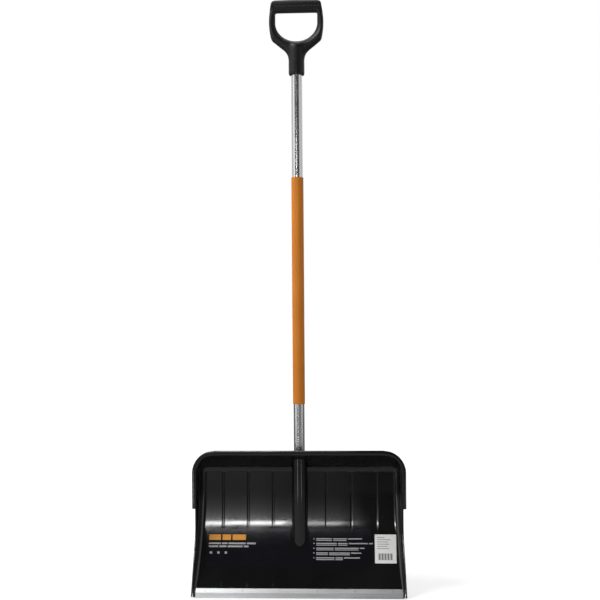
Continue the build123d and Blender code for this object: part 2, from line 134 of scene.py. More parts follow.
FLOOR_REACH = 40.0
NEAR_GLOW = (0.3, 0.62)    # distance from the origin, and what the floor adds for the camera there
FAR_GLOW = (1.6, 1.0)
FLOOR_FADE = 3.0           # the distance that the greys' places are shares of
FLOOR_GREYS = ((0.2, 0.42), (0.6, 0.2))


def make_floor():
    """A matt floor that takes the soft shadow, and glows to white for the camera further out."""
    mesh = bpy.data.meshes.new("floor")
    corners = [(-1, -1), (1, -1), (1, 1), (-1, 1)]
    mesh.from_pydata([(x * FLOOR_REACH, y * FLOOR_REACH, 0) for x, y in corners], [], [(0, 1, 2, 3)])
    floor = bpy.data.objects.new("floor", mesh)
    scene.collection.objects.link(floor)
    mat = bpy.data.materials.new("floor")
    mat.use_nodes = True
    tree = mat.node_tree
    shader = tree.nodes["Principled BSDF"]
    shader.inputs["Roughness"].default_value = 0.9
    shader.inputs["Specular IOR Level"].default_value = 0.0
    shader.inputs["Emission Color"].default_value = (1, 1, 1, 1)
    place = tree.nodes.new("ShaderNodeTexCoord")
    distance = tree.nodes.new("ShaderNodeVectorMath")
    distance.operation = "LENGTH"
    tree.links.new(place.outputs["Object"], distance.inputs[0])
    glow = smooth_range(tree, distance.outputs["Value"], NEAR_GLOW, FAR_GLOW)
    dim = tree.nodes.new("ShaderNodeValToRGB")
    for element, (where, grey) in zip(dim.color_ramp.elements, FLOOR_GREYS):
        element.position = where
        element.color = (grey, grey, grey, 1)
    share = tree.nodes.new("ShaderNodeMath")
    share.operation = "DIVIDE"
    share.inputs[1].default_value = FLOOR_FADE
    tree.links.new(distance.outputs["Value"], share.inputs[0])
    tree.links.new(share.outputs["Value"], dim.inputs["Fac"])
    tree.links.new(dim.outputs["Color"], shader.inputs["Base Color"])
    path = tree.nodes.new("ShaderNodeLightPath")
    seen = tree.nodes.new("ShaderNodeMath")
    seen.operation = "MULTIPLY"
    tree.links.new(glow, seen.inputs[0])
    tree.links.new(path.outputs["Is Camera Ray"], seen.inputs[1])
    tree.links.new(seen.outputs["Value"], shader.inputs["Emission Strength"])
    mesh.materials.append(mat)


# ---------------------------------------------------------------- materials
class Finish:
    """A node material with a few shorthands."""

    def __init__(self, name, **sockets):
        self.mat = bpy.data.materials.new(name)
        self.mat.use_nodes = True
        self.tree = self.mat.node_tree
        self.shader = self.tree.nodes["Principled BSDF"]
        for key, value in sockets.items():
            self.shader.inputs[key.replace("_", " ")].default_value = value
        self.coords = self.add("ShaderNodeTexCoord").outputs["Object"]

    def add(self, kind, **sockets):
        node = self.tree.nodes.new(kind)
        for key, value in sockets.items():
            node.inputs[key.replace("_", " ")].default_value = value
        return node

    def link(self, source, target):
        self.tree.links.new(source, target)

    def stretched(self, scale):
        node = self.add("ShaderNodeMapping", Scale=scale)
        self.link(self.coords, node.inputs["Vector"])
        return node.outputs["Vector"]

    def noise(self, scale, stretch=(1, 1, 1), detail=3.0, rough=0.5):
        node = self.add("ShaderNodeTexNoise", Scale=scale, Detail=detail, Roughness=rough)
        self.link(self.stretched(stretch), node.inputs["Vector"])
        return node.outputs["Fac"]

    def cells(self, scale, stretch=(1, 1, 1)):
        node = self.add("ShaderNodeTexVoronoi", Scale=scale)
        self.link(self.stretched(stretch), node.inputs["Vector"])
        return node.outputs["Distance"]

    def ramp(self, source, stops):
        """Maps a value to greys or colours, given as (place, colour) pairs."""
        node = self.add("ShaderNodeValToRGB")
        ends = node.color_ramp.elements
        for place, color in stops[2:]:
            ends.new(place)
        for element, (place, color) in zip(ends, stops):
            element.position = place
            element.color = (*color, 1) if isinstance(color, tuple) else (color, color, color, 1)
        self.link(source, node.inputs["Fac"])
        return node.outputs["Color"]

    def math(self, operation, first, second):
        node = self.add("ShaderNodeMath")
        node.operation = operation
        for socket, value in zip(node.inputs, (first, second)):
            if isinstance(value, (int, float)):
                socket.default_value = value
            else:
                self.link(value, socket)
        return node.outputs["Value"]

    def blend(self, first, share, second):
        """A weighted mean of two values; share is the first one's weight."""
        return self.math("ADD", self.math("MULTIPLY", first, share),
                         self.math("MULTIPLY", second, 1 - share))

    def bump(self, height, distance, strength, below=None):
        node = self.add("ShaderNodeBump", Distance=distance, Strength=strength)
        self.link(height, node.inputs["Height"])
        if below is not None:
            self.link(below, node.inputs["Normal"])
        return node.outputs["Normal"]

    def color(self, source):
        self.link(source, self.shader.inputs["Base Color"])

    def rough(self, source):
        self.link(source, self.shader.inputs["Roughness"])

    def normal(self, source):
        self.link(source, self.shader.inputs["Normal"])


def blade_plastic():
    """Glossy black polypropylene, with moulding ripples, drawn-out scuffs and a duller grain."""
    f = Finish("scoop_plastic", Base_Color=(0.005, 0.005, 0.006, 1), Roughness=0.15)
    cloud = f.noise(9, detail=5)
    f.color(f.ramp(cloud, [(0.35, (0.004, 0.004, 0.0045)), (0.7, (0.007, 0.007, 0.0075))]))
    mottle = f.noise(22, detail=4)
    scuffs = f.noise(30, (1, 1, 14), detail=3)
    f.rough(f.ramp(f.blend(mottle, 0.6, scuffs), [(0.35, 0.07), (0.68, 0.115)]))
    ripple = f.bump(f.noise(45, detail=1), 0.0003, 0.12)
    f.normal(f.bump(f.noise(1400, detail=2), 0.00003, 0.3, ripple))
    return f.mat


def handle_plastic():
    """Satin black plastic with a fine spark-eroded grain, polished a little where hands rub."""
    f = Finish("handle_plastic", Base_Color=(0.006, 0.006, 0.006, 1), Roughness=0.45,
               Specular_IOR_Level=0.32)
    cloud = f.noise(60, detail=4)
    f.color(f.ramp(cloud, [(0.3, (0.004, 0.004, 0.0043)), (0.7, (0.007, 0.007, 0.0075))]))
    f.rough(f.ramp(f.noise(18, detail=3), [(0.35, 0.38), (0.7, 0.52)]))
    grain = f.bump(f.cells(1500), 0.00008, 0.5)
    f.normal(f.bump(f.noise(900, detail=2), 0.00005, 0.4, grain))
    return f.mat


def tube_aluminium():
    """Drawn aluminium tube: fine lengthwise lines, faint cloudiness."""
    f = Finish("tube_aluminium", Base_Color=(0.58, 0.58, 0.59, 1), Metallic=1.0, Roughness=0.25)
    lines = f.noise(700, (1, 1, 0.01), detail=3)
    f.color(f.ramp(lines, [(0.2, (0.55, 0.55, 0.56)), (0.8, (0.62, 0.62, 0.63))]))
    cloud = f.noise(25, detail=3)
    f.rough(f.ramp(f.blend(lines, 0.5, cloud), [(0.3, 0.22), (0.7, 0.28)]))
    f.normal(f.bump(lines, 0.00001, 0.15))
    return f.mat


def edge_aluminium():
    """Rolled aluminium strip, brushed along its length, with handling scratches."""
    f = Finish("edge_aluminium", Base_Color=(0.8, 0.81, 0.82, 1), Metallic=1.0, Roughness=0.3)
    lines = f.noise(900, (0.01, 1, 1), detail=3)
    f.color(f.ramp(lines, [(0.3, (0.7, 0.71, 0.72)), (0.7, (0.86, 0.87, 0.88))]))
    cloud = f.noise(14, (1, 3, 3), detail=4)
    f.rough(f.ramp(f.blend(lines, 0.4, cloud), [(0.2, 0.32), (0.8, 0.4)]))
    f.normal(f.bump(lines, 0.00003, 0.3))
    return f.mat


def sleeve_plastic():
    """Orange shrunk-on sleeve: satin, with faint lengthwise marks."""
    f = Finish("sleeve_plastic", Base_Color=(0.56, 0.18, 0.02, 1), Roughness=0.42,
               Specular_IOR_Level=0.2)
    lines = f.noise(420, (1, 1, 0.02), detail=2)
    cloud = f.noise(12, detail=4)
    mixed = f.blend(lines, 0.4, cloud)
    f.color(f.ramp(mixed, [(0.3, (0.60, 0.190, 0.018)), (0.7, (0.68, 0.225, 0.024))]))
    f.rough(f.ramp(mixed, [(0.3, 0.36), (0.7, 0.5)]))
    f.normal(f.bump(lines, 0.00006, 0.35))
    return f.mat


def zinc_steel():
    """Zinc-plated screw steel, slightly mottled."""
    f = Finish("screw_steel", Base_Color=(0.62, 0.62, 0.6, 1), Metallic=1.0, Roughness=0.32)
    cloud = f.noise(400, detail=4)
    f.color(f.ramp(cloud, [(0.3, (0.5, 0.5, 0.47)), (0.7, (0.68, 0.68, 0.67))]))
    f.rough(f.ramp(cloud, [(0.3, 0.26), (0.7, 0.42)]))
    return f.mat


def rivet_aluminium():
    """Dull aluminium rivet heads, lightly clouded."""
    f = Finish("rivet_aluminium", Base_Color=(0.7, 0.71, 0.72, 1), Metallic=1.0, Roughness=0.34)
    cloud = f.noise(500, detail=4)
    f.color(f.ramp(cloud, [(0.3, (0.62, 0.63, 0.64)), (0.7, (0.78, 0.79, 0.8))]))
    f.rough(f.ramp(cloud, [(0.3, 0.28), (0.7, 0.45)]))
    return f.mat


def plug_plastic():
    """Matt dark grey plastic of the plugs inside the tube."""
    f = Finish("plug_plastic", Base_Color=(0.05, 0.05, 0.05, 1), Roughness=0.5)
    f.color(f.ramp(f.noise(80, detail=4), [(0.3, (0.04, 0.04, 0.04)), (0.7, (0.07, 0.07, 0.07))]))
    f.rough(f.ramp(f.noise(200), [(0.3, 0.45), (0.7, 0.6)]))
    return f.mat


def film_print():
    """Dark glossy label film."""
    f = Finish("film", Base_Color=(0.005, 0.005, 0.007, 1), Roughness=0.15)
    cloud = f.noise(30, detail=4)
    f.color(f.ramp(cloud, [(0.2, (0.004, 0.004, 0.0065)), (0.8, (0.0055, 0.0055, 0.009))]))
    f.rough(f.ramp(f.noise(40, detail=4), [(0.2, 0.12), (0.8, 0.16)]))
    f.normal(f.bump(f.noise(60, (1, 1, 2), detail=2), 0.0003, 0.12))
    return f.mat


def paper(name, low, high, rough=0.6):
    """Printed paper or ink, with a slight fibre mottle between two colours."""
    f = Finish(name, Base_Color=(*high, 1), Roughness=rough)
    fibres = f.noise(900, detail=4)
    f.color(f.ramp(fibres, [(0.3, low), (0.7, high)]))
    f.rough(f.ramp(fibres, [(0.3, rough - 0.08), (0.7, rough + 0.08)]))
    return f.mat


# the key of each material is its slot's name in the record
MATERIALS = {
    "scoop_plastic": blade_plastic(),
    "handle_plastic": handle_plastic(),
    "tube_aluminium": tube_aluminium(),
    "edge_aluminium": edge_aluminium(),
    "sleeve_plastic": sleeve_plastic(),
    "screw_steel": zinc_steel(),
    "rivet_aluminium": rivet_aluminium(),
    "plug_plastic": plug_plastic(),
    "film": film_print(),
    "sticker": paper("sticker", (0.86, 0.86, 0.85), (0.93, 0.93, 0.92)),
}

# the pieces that stay as the CAD made them get their materials here
for part in frame["record"]["subparts"]:
    node = frame["nodes"][part["node"]]
    node.data.materials.clear()
    node.data.materials.append(MATERIALS[part["material_slot"]])

# ---------------------------------------------------------------- scoop blade
# The section and outline of the blade in millimetres, as in the CAD part.
WALL = 3.0
LIP_ANGLE = 35.0
LIP_RUN = 34.9
SWEEP_RADIUS = 430.0       # of the section's middle, between the lip and the flat pan
PAN_ANGLE = 3.0
PAN_RUN = 44.0
CURL_RADIUS = 24.0
CURL_ANGLE = -52.0
RIM_Y = 38.8
RIM_TOP = 352.5
RIM_HALF = 262.0
RIM_CORNER = 50.0
DRAFT = np.tan(np.radians(8.0))
SIDE_FOOT = (-4.0, 2.5)    # (y, z) of the rim's foot
SIDE_KNEE = 154.0          # height of the rim's bend
KNEE_SOFTNESS = 4.3        # how far the rim's bend is rounded, front to back
INNER_FILLET = 12.0
BEAD_WIDTH = 7.2
BEAD_THICK = 3.0
BEAD_FOOT = 213.0
FLUTE_FIRST = 68.0
FLUTE_PITCH = 64.0
FLUTES = [side * (FLUTE_FIRST + FLUTE_PITCH * number) for side in (-1, 1) for number in range(3)]
FLUTE_RADIUS = 11.0
FLUTE_DEPTH = 0.6
FLUTE_FOOT = 27.0          # place along the section where flutes and ribs start
RIB_RADIUS = 4.0
RIB_RISE = 2.5
SOCKET_RADIUS = 20.0
SOCKET_TOP = 350.0
BORE_RADIUS = 14.1
SPINE_FOOT = 38.0
EASE = 0.7                 # rounding of the rim's edges
BORDER = 22.0              # width of the mesh's border, inside the rim's inner outline
PAN_HALF = 260.0           # where the outermost panels end
PILLOW = 0.06              # how far each panel between two flutes bulges
WAVE = 0.035               # heights of the pan's long and short waves
RIPPLE = 0.012


def along(angle):
    """The way (y, z) up a stretch of the section that leans this far back."""
    return np.stack([np.sin(np.radians(angle)), np.cos(np.radians(angle))], -1)


def ahead(angle):
    """The way (y, z) square to that stretch, to its front."""
    return np.stack([-np.cos(np.radians(angle)), np.sin(np.radians(angle))], -1)


def section(s, front):
    """Points (y, z) this far along the section and in front of its middle, with the lean there."""
    s = np.asarray(s, float)
    sweep_run = SWEEP_RADIUS * np.radians(LIP_ANGLE - PAN_ANGLE)
    curl_run = CURL_RADIUS * np.radians(PAN_ANGLE - CURL_ANGLE)
    sweep_foot = along(LIP_ANGLE) * LIP_RUN
    sweep_centre = sweep_foot + ahead(LIP_ANGLE) * SWEEP_RADIUS
    sweep_top = sweep_centre - ahead(PAN_ANGLE) * SWEEP_RADIUS
    curl_foot = sweep_top + along(PAN_ANGLE) * PAN_RUN
    curl_centre = curl_foot + ahead(PAN_ANGLE) * CURL_RADIUS
    curl_top = curl_centre - ahead(CURL_ANGLE) * CURL_RADIUS
    ends = np.cumsum([LIP_RUN, sweep_run, PAN_RUN, curl_run])
    lean = np.interp(s, ends, [LIP_ANGLE, PAN_ANGLE, PAN_ANGLE, CURL_ANGLE])
    on_lip = along(LIP_ANGLE) * s[..., None]
    on_sweep = sweep_centre - ahead(lean) * SWEEP_RADIUS
    on_pan = sweep_top + along(PAN_ANGLE) * (s - ends[1])[..., None]
    on_curl = curl_centre - ahead(lean) * CURL_RADIUS
    on_band = curl_top + along(CURL_ANGLE) * (s - ends[3])[..., None]
    point = np.where((s < ends[0])[..., None], on_lip, on_sweep)
    point = np.where((s >= ends[1])[..., None], on_pan, point)
    point = np.where((s >= ends[2])[..., None], on_curl, point)
    point = np.where((s >= ends[3])[..., None], on_band, point)
    return point + ahead(lean) * front, lean


TABLE_S = np.linspace(-20, 400, 8401)       # places along the section, for looking depths up
FRONT_YZ, LEAN = section(TABLE_S, WALL / 2)
BACK_YZ, _ = section(TABLE_S, -WALL / 2)


def front_y(z):
    return np.interp(z, FRONT_YZ[:, 1], FRONT_YZ[:, 0])


def back_y(z):
    return np.interp(z, BACK_YZ[:, 1], BACK_YZ[:, 0])


def lean_at(z):
    return np.interp(z, FRONT_YZ[:, 1], LEAN)


def smooth_step(value, low, high):
    t = np.clip((value - low) / (high - low), 0, 1)
    return t * t * (3 - 2 * t)


def panel_bulge(x, z):
    """Each panel between flutes bulges a little, and the whole pan is slightly wavy."""
    places = np.sort(np.array(FLUTES + [-PAN_HALF, 0.0, PAN_HALF]))
    index = np.clip(np.searchsorted(places, x) - 1, 0, len(places) - 2)
    low, high = places[index], places[index + 1]
    bulge = PILLOW * np.sin(np.pi * np.clip((x - low) / (high - low), 0, 1)) ** 2
    waves = WAVE * np.sin(x / 23.0 + 1.3 * np.sin(z / 41.0)) * np.sin(z / 33.0 + 0.8)
    waves += RIPPLE * np.sin(x / 11.0 + z / 19.0 + 2.0)
    return (bulge + waves) * smooth_step(z, 20, 60) * (1 - smooth_step(z, 280, 310))


def groove(x, z):
    """Depth of the flutes at a place on the pan's front."""
    depth = np.zeros_like(x)
    for place in FLUTES:
        reach = np.maximum(FLUTE_RADIUS ** 2 - (x - place) ** 2, 0) ** 0.5
        depth = np.maximum(depth, reach - (FLUTE_RADIUS - FLUTE_DEPTH))
    foot = FLUTE_FOOT * np.cos(np.radians(LIP_ANGLE))
    return depth * smooth_step(z, foot, foot + 4)


def back_rib(x, z):
    """Height of the ribs behind the flutes."""
    rise = np.zeros_like(x)
    for place in FLUTES:
        reach = np.maximum(RIB_RADIUS ** 2 - (x - place) ** 2, 0) ** 0.5
        rise = np.maximum(rise, reach - (RIB_RADIUS - RIB_RISE))
    foot = FLUTE_FOOT * np.cos(np.radians(LIP_ANGLE))
    return rise * smooth_step(z, foot - 2, foot + 1) * (1 - smooth_step(z, RIM_TOP - 4, RIM_TOP - 1.5))


def pan_front(x, z):
    """Depth of the pan's front surface, flutes and bulges included."""
    lift = panel_bulge(x, z) - groove(x, z)
    return front_y(z) - lift / np.cos(np.radians(lean_at(z)))


def pan_back(x, z):
    """Depth of the pan's back surface, ribs and bulges included."""
    lift = back_rib(x, z) - panel_bulge(x, z)
    return back_y(z) + lift / np.cos(np.radians(lean_at(z)))


def rim_y(z):
    """Depth of the side walls' rims: upright above the knee, sweeping forward to the foot below it."""
    fall = (SIDE_KNEE - z) * (RIM_Y - SIDE_FOOT[0]) / (SIDE_KNEE - SIDE_FOOT[1])
    soft = (fall + KNEE_SOFTNESS) ** 2 / (4 * KNEE_SOFTNESS)
    return RIM_Y - np.where(fall > KNEE_SOFTNESS, fall, np.where(fall < -KNEE_SOFTNESS, 0, soft))


CURL_START = 312.0         # places along the section between which the rows are closest
CURL_END = 345.0
ROW_GAP = 0.7              # rows nearer than this are left out
BESIDE_FLUTE = (1.4, 2.8, 3.4, 3.8, 4.2, 5.0, 6.0)
FLUTE_GAP = 10.0           # between the first flute and the columns in the middle
LAST_COLUMN = 206.0


def blade_rows():
    """Heights of the mesh's rows, closer together round the curl and the bead's foot."""
    sweep = np.arange(8.0, CURL_START, 6.0)
    curl = np.arange(CURL_START, CURL_END, 1.6)
    band = np.arange(CURL_END, 400.0, 3.0)
    heights = np.interp(np.concatenate([sweep, curl, band]), TABLE_S, FRONT_YZ[:, 1])
    top = RIM_TOP - WALL - BORDER
    turn = np.radians(np.arange(0, 91, 9))
    corner = top - (RIM_CORNER - WALL - BORDER) * (1 - np.cos(turn))
    heights = np.concatenate([[SIDE_FOOT[1]], heights, corner, [BEAD_FOOT - 0.4, BEAD_FOOT + 0.4]])
    heights = np.unique(np.round(heights[(heights >= SIDE_FOOT[1]) & (heights <= top + 1e-6)], 3))
    keep = [heights[0]]
    for z in heights[1:]:
        if z - keep[-1] > ROW_GAP:
            keep.append(z)
    keep[-1] = top
    return np.array(keep)


def blade_columns():
    """Places of the mesh's columns as far out as the last flute, closer together at each flute."""
    beside = np.array(BESIDE_FLUTE)
    fine = np.concatenate([-beside[::-1], [0], beside])
    places = [place + fine for place in FLUTES]
    places.append(np.linspace(FLUTE_GAP - FLUTE_FIRST, FLUTE_FIRST - FLUTE_GAP, 21))
    between = np.linspace(FLUTE_RADIUS, FLUTE_PITCH - FLUTE_RADIUS, 8)
    for side in (-1, 1):
        for number in range(2):
            places.append(side * (FLUTE_FIRST + FLUTE_PITCH * number + between))
    places.append(np.array([-LAST_COLUMN, LAST_COLUMN]))
    return np.unique(np.round(np.concatenate(places), 3))


def border_start(z):
    """Half-width of the middle of the mesh at a height, inside the border."""
    corner = RIM_CORNER - WALL - BORDER
    half = RIM_HALF - WALL - BORDER
    above = np.clip(z - (RIM_TOP - WALL - BORDER - corner), 0, corner)
    return half - corner + np.sqrt(np.maximum(corner ** 2 - above ** 2, 0))


def inside(d, y, z0, nz, x0, nx):
    """How far inside the rounded hollow a point of a border section is; d runs in from the rim."""
    x = x0 + nx * (BORDER - d)
    z = z0 + nz * (BORDER - d)
    from_pan = (pan_front(x, z) - y) * np.cos(np.radians(lean_at(z)))
    from_wall = (d + (RIM_Y - y) * DRAFT) / np.hypot(1, DRAFT)
    short_pan = np.maximum(INNER_FILLET - from_pan, 0)
    short_wall = np.maximum(INNER_FILLET - from_wall, 0)
    return INNER_FILLET - np.hypot(short_pan, short_wall)


RAY_REACH = 140.0          # further than any ray has to go
CENTRE_OFF = 16.0          # of each border section's inner centre, in front of the pan
LAST_RAY = 168             # degrees from straight back
RAYS = 19
HALVINGS = 40              # of the searches for a ray's end
BEHIND_BEAD = (0.4, 0.9)   # how far behind the bead its corner's ring and the next one lie
CORNER_CUT = 0.8           # how far the skin keeps off the sharp corner of wall and back


def hit(angle, y0, *place):
    """Where a ray from each border section's inner centre meets the hollow's surface, as (d, y)."""
    near = np.zeros_like(angle)
    far = np.full_like(angle, RAY_REACH)
    for _ in range(HALVINGS):
        middle = (near + far) / 2
        d = BORDER - middle * np.sin(angle)
        y = y0 + middle * np.cos(angle)
        within = inside(d, y, *place) > 0
        near = np.where(within, middle, near)
        far = np.where(within, far, middle)
    return BORDER - near * np.sin(angle), y0 + near * np.cos(angle)


def border_rings(x0, z0, nx, nz):
    """The blade's border from the pan's front, round the rim, to the pan's back, as rings of points."""
    place = (z0, nz, x0, nx)
    y0 = pan_front(x0, z0) - CENTRE_OFF
    rim = rim_y(z0)
    low = np.zeros_like(x0)
    high = np.full_like(x0, np.radians(LAST_RAY))
    for _ in range(30):
        middle = (low + high) / 2
        _, y = hit(middle, y0, *place)
        behind = y > rim + EASE
        low = np.where(behind, middle, low)
        high = np.where(behind, high, middle)
    rings = []
    for share in np.linspace(0, 1, RAYS):
        rings.append(hit(low * share, y0, *place))
    nick = 0.3 * EASE
    d_edge, y_edge = rings[-1]
    d_edge = d_edge - (y_edge - rim) * DRAFT
    rings.append((d_edge - nick, rim + nick))
    rings.append((d_edge - EASE, rim))
    beaded = (z0 > BEAD_FOOT) | (nz > 0.01)
    wall_d = (rim - RIM_Y) * DRAFT - WALL
    outer = np.where(beaded, -WALL - BEAD_WIDTH, wall_d)
    rings.append((outer + EASE, rim))
    rings.append((outer + nick, rim + nick))
    rings.append((outer + np.where(beaded, 0, EASE * DRAFT), rim + EASE))
    back_of_bead = rim + BEAD_THICK

    def on_wall(y):
        return (y - RIM_Y) * DRAFT - WALL

    for back_off, d_in in ((EASE, 0.0), (nick, nick), (0.0, EASE)):
        y = back_of_bead - back_off
        rings.append((np.where(beaded, -WALL - BEAD_WIDTH + d_in, on_wall(y)), y))
    y = back_of_bead + BEHIND_BEAD[0]
    d = np.where(beaded, on_wall(back_of_bead) - 0.5, on_wall(y))
    rings.append((d, np.where(beaded, back_of_bead, y)))
    start = back_of_bead + BEHIND_BEAD[1]
    corner_y = np.full_like(x0, 60.0)      # a first guess, mended by the next lines
    for _ in range(HALVINGS):
        d = on_wall(corner_y)
        corner_y = pan_back(x0 + nx * (BORDER - d), z0 + nz * (BORDER - d))
    corner_y = np.maximum(corner_y, start + 2.0)
    for share in np.linspace(0, 1, 6):
        y = start + (corner_y - CORNER_CUT - start) * share
        rings.append((on_wall(y), y))
    d_corner = on_wall(corner_y)
    rings.append((d_corner + 0.25, corner_y - 0.2))
    for share in np.linspace(0, 1, 9):
        d = d_corner + 1.0 + (BORDER - d_corner - 1.0) * share
        rings.append((d, pan_back(x0 + nx * (BORDER - d), z0 + nz * (BORDER - d))))
    points = []
    for d, y in rings:
        points.append(np.stack([x0 + nx * (BORDER - d), y, z0 + nz * (BORDER - d)], -1))
    return points


def mesh_object(name, points, faces, material, smooth_angle):
    """An object from points in millimetres, shaded smooth except at edges sharper than the angle."""
    mesh = bpy.data.meshes.new(name)
    mesh.from_pydata([tuple(p) for p in np.asarray(points) * MM], [], faces)
    mesh.validate()
    work = bmesh.new()
    work.from_mesh(mesh)
    bmesh.ops.recalc_face_normals(work, faces=work.faces)
    work.to_mesh(mesh)
    work.free()
    mesh.materials.append(material)
    mesh.polygons.foreach_set("use_smooth", [True] * len(mesh.polygons))
    mesh.set_sharp_from_angle(angle=radians(smooth_angle))
    obj = bpy.data.objects.new(name, mesh)
    scene.collection.objects.link(obj)
    return obj


def make_blade_shell():
    """The pan, its walls and the bead as one skin: a front grid, a back grid and a border between."""
    rows = blade_rows()
    fixed = blade_columns()
    stretch = np.linspace(0, 1, 6)[1:]
    grid_x = []
    for z in rows:
        edge = border_start(z)
        right = fixed[-1] + (edge - fixed[-1]) * stretch
        grid_x.append(np.concatenate([-right[::-1], fixed, right]))
    grid_x = np.array(grid_x)
    grid_z = np.repeat(rows[:, None], grid_x.shape[1], 1)
    count_z, count_x = grid_x.shape
    points = []

    def add(block):
        first = len(points)
        points.extend(block.reshape(-1, 3))
        return first + np.arange(block.shape[0] * block.shape[1]).reshape(block.shape[:2])

    front = add(np.stack([grid_x, pan_front(grid_x, grid_z), grid_z], -1))
    back = add(np.stack([grid_x, pan_back(grid_x, grid_z), grid_z], -1))
    faces = []

    def quads(block):
        for a, b in zip(block[:-1], block[1:]):
            for i in range(len(a) - 1):
                faces.append((int(a[i]), int(a[i + 1]), int(b[i + 1]), int(b[i])))

    quads(front)
    quads(back)
    left = [(j, 0) for j in range(count_z)]
    over = [(count_z - 1, i) for i in range(1, count_x - 1)]
    right = [(j, count_x - 1) for j in range(count_z - 1, -1, -1)]
    path = left + over + right
    at_j = np.array([p[0] for p in path])
    at_i = np.array([p[1] for p in path])
    x0, z0 = grid_x[at_j, at_i], grid_z[at_j, at_i]
    corner_x = RIM_HALF - RIM_CORNER
    corner_z = RIM_TOP - RIM_CORNER
    out_x = np.sign(x0) * np.maximum(np.abs(x0) - corner_x, 0)
    out_z = np.maximum(z0 - corner_z, 0)
    out_x = np.where(z0 <= corner_z, np.sign(x0), out_x)
    out_z = np.where(z0 <= corner_z, 0, out_z)
    on_top = np.zeros(len(path), bool)
    on_top[len(left):len(left) + len(over)] = True
    inner = np.abs(x0) <= corner_x
    out_x = np.where(on_top & inner, 0, out_x)
    length = np.hypot(out_x, out_z)
    nx, nz = out_x / length, out_z / length
    rings = border_rings(x0, z0, nx, nz)
    block = [front[at_j, at_i]]
    for ring in rings[1:-1]:
        block.append(add(ring[None])[0])
    block.append(back[at_j, at_i])
    quads(np.array(block))
    for i in range(count_x - 1):
        faces.append((int(front[0, i]), int(front[0, i + 1]), int(back[0, i + 1]), int(back[0, i])))
    faces.append(tuple(int(ring[0]) for ring in block))
    faces.append(tuple(int(ring[-1]) for ring in block))
    return mesh_object("blade_shell", points, faces, MATERIALS["scoop_plastic"], 38)


def loft(name, sections, material, smooth_angle):
    """A closed skin through rings of the same number of points, with flat ends."""
    points = np.concatenate(sections)
    count = len(sections[0])
    faces = []
    for a in range(len(sections) - 1):
        for i in range(count):
            j = (i + 1) % count
            faces.append((a * count + i, a * count + j, (a + 1) * count + j, (a + 1) * count + i))
    last = (len(sections) - 1) * count
    faces.append(tuple(range(count)))
    faces.append(tuple(last + i for i in range(count)))
    return mesh_object(name, points, faces, material, smooth_angle)


NOSE_DROP = 6.5            # of the nose's centre, below the tube's foot
FLANK_TOP = 330.0          # above this the socket stands clear of the pan and is round
SOCKET_MOUTH = ((0, 1.2), (0.35, 0.35), (1.2, 0), (4.2, 0), (5.2, 0.3))     # (inset, drop)


def make_socket():
    """The closed socket: a nose, a round front that turns into flanks, an open mouth and a bore."""
    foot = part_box("shaft_tube")[0].z / MM - NOSE_DROP
    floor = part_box("lower_tube_plug")[0].z / MM
    turns = np.radians(np.linspace(-90, 90, 33))
    sections = []

    def ring(radius, z, flank=0.0):
        front = np.stack([radius * np.sin(turns), SHAFT - radius * np.cos(turns)], -1)
        back_turns = np.radians(np.linspace(90, -90, 33))
        side = min(flank, radius * 0.98)
        start = np.arcsin(side / radius)
        back_turns = back_turns * (np.pi / 2 - start) / (np.pi / 2)
        back = np.stack([radius * np.sin(back_turns), SHAFT + radius * np.cos(back_turns)], -1)
        end = SHAFT + (flank if flank > 0 else 0.01)
        flanks = np.array([[radius, end], [-radius, end]])
        flat = np.concatenate([front, flanks[:1], back, flanks[1:]])
        return np.concatenate([flat, np.full((len(flat), 1), z)], 1)

    for rise in np.radians(np.linspace(4, 90, 12)):
        sections.append(ring(SOCKET_RADIUS * np.sin(rise), foot - SOCKET_RADIUS * np.cos(rise)))
    for z in np.arange(foot + 6, SOCKET_TOP - 5, 6.0):
        reach = float(front_y(z)) + WALL / 2 - SHAFT if z < FLANK_TOP else 0.0
        sections.append(ring(SOCKET_RADIUS, z, max(reach, 0.0)))
    for inset, drop in SOCKET_MOUTH:
        sections.append(ring(SOCKET_RADIUS - inset, SOCKET_TOP - drop))
    sections.append(ring(BORE_RADIUS, SOCKET_TOP - 1.2))
    sections.append(ring(BORE_RADIUS, floor))
    return loft("blade_socket", sections, MATERIALS["scoop_plastic"], 40)


SPINE_THICK = 5.0
SPINE_EDGE = (1.2, 0.35)   # the rounding of its edge, as two cuts


def make_spine():
    """The web down the back of the pan, under the socket."""
    half = SPINE_THICK / 2
    wide, narrow = SPINE_EDGE
    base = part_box("lower_tube_plug")[0].z / MM
    heights = np.linspace(SPINE_FOOT, base + SOCKET_RADIUS, 16)
    deepest = SHAFT + SOCKET_RADIUS - SPINE_THICK
    deep = np.interp(heights, [SPINE_FOOT, base], [back_y(SPINE_FOOT), deepest])
    sections = []
    for z, back in zip(heights, deep):
        near = float(back_y(z)) - 1.0
        back = max(float(back), near + 1.5)
        flat = [(-half, near), (half, near), (half, back - wide), (half - narrow, back - narrow),
                (half - wide, back), (wide - half, back), (narrow - half, back - narrow),
                (-half, back - wide)]
        sections.append(np.array([(x, y, z) for x, y in flat]))
    return loft("blade_spine", sections, MATERIALS["scoop_plastic"], 50)


